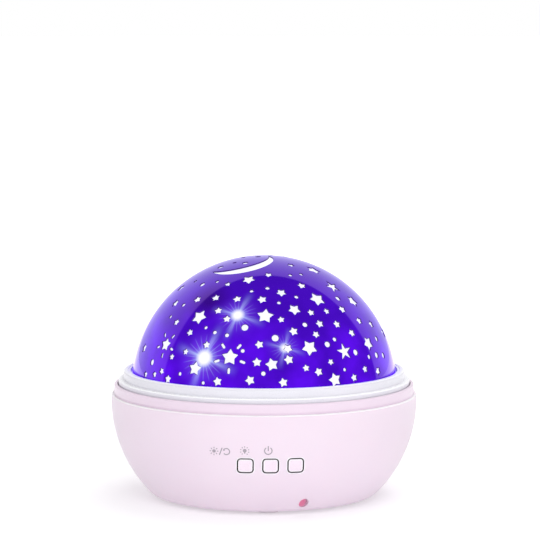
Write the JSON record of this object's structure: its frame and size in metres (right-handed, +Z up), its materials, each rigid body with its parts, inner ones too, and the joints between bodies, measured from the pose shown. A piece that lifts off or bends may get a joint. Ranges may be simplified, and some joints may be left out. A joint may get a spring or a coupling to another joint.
{
  "type": "star night light projector",
  "caption": "Round night light: pink bowl with push buttons, white turning dish, and a lift-off violet mirror dome with star and crescent windows.",
  "frame": {"origin": "on the table under the middle of the bowl", "axes": "+Z up through the dome, -Y towards the buttons"},
  "size_m": [0.124, 0.124, 0.0979],
  "materials": {
    "pink_plastic": "fine satin",
    "pink_trim": "satin",
    "button_plastic": "satin",
    "white_plastic": "satin",
    "steel": "plated",
    "screw_steel": "zinc plated",
    "white_board": "solder mask",
    "green_board": "solder mask",
    "black_plastic": "moulded",
    "inlet_plastic": "moulded",
    "cell_jacket": "printed sleeve",
    "wire_jacket": "smooth",
    "foot_rubber": "matte",
    "gear_plastic": "moulded",
    "lamp_bead": "clear lens",
    "clear_dome": "clear moulded plastic",
    "violet_mirror": "metallised mirror"
  },
  "bodies": {
    "base": {"bowl_shell": "pink_plastic", "top_frame": "pink_trim", "lamp_post": "white_plastic", "thrust_washer": "steel", "post_cap": "white_plastic", "led_board": "white_board", "leds": "lamp_bead", "gear_motor": "steel", "motor_screws": "screw_steel", "post_screws": "screw_steel", "control_board": "green_board", "board_parts": "black_plastic", "board_screws": "screw_steel", "tact_switches": "black_plastic", "dc_jack": "inlet_plastic", "batteries": "cell_jacket", "battery_contacts": "steel", "battery_springs": "steel", "wiring": "wire_jacket", "case_screws": "screw_steel", "rubber_feet": "foot_rubber"},
    "turntable": {"turntable": "white_plastic", "ring_gear": "gear_plastic", "gear_screws": "screw_steel"},
    "pinion": {"drive_pinion": "gear_plastic", "motor_shaft": "steel"},
    "dome": {"dome_collar": "white_plastic", "dome_cover": "clear_dome", "star_skin": "violet_mirror"},
    "left_button": {"button_left": "button_plastic", "plunger_left": "black_plastic"},
    "middle_button": {"button_middle": "button_plastic", "plunger_middle": "black_plastic"},
    "right_button": {"button_right": "button_plastic", "plunger_right": "black_plastic"},
    "door": {"battery_door": "pink_plastic"}
  },
  "joints": [
    {"name": "turntable_spin", "type": "hinge", "parent": "base", "child": "turntable", "pos_m": [0, 0, 0.044], "axis": [0, 0, 1], "continuous": true},
    {"name": "pinion_spin", "type": "hinge", "parent": "base", "child": "pinion", "pos_m": [0, 0.024, 0.04], "axis": [0, 0, 1], "continuous": true},
    {"name": "dome_lift", "type": "slide", "parent": "turntable", "child": "dome", "axis": [0, 0, 1], "range_m": [0, 0.06]},
    {"name": "left_button_press", "type": "slide", "parent": "base", "child": "left_button", "axis": [0, 1, 0], "range_m": [0, 0.0006], "stiffness_N_per_m": 800, "springref_m": -0.0008},
    {"name": "middle_button_press", "type": "slide", "parent": "base", "child": "middle_button", "axis": [0, 1, 0], "range_m": [0, 0.0006], "stiffness_N_per_m": 800, "springref_m": -0.0008},
    {"name": "right_button_press", "type": "slide", "parent": "base", "child": "right_button", "axis": [0, 1, 0], "range_m": [0, 0.0006], "stiffness_N_per_m": 800, "springref_m": -0.0008},
    {"name": "battery_door_hinge", "type": "hinge", "parent": "base", "child": "door", "pos_m": [0, 0.02155, 0.00185], "axis": [1, 0, 0], "range_deg": [0, 75]}
  ],
  "couplings": [
    {"joint": "pinion_spin", "follows": "turntable_spin", "ratio": 6}
  ]
}
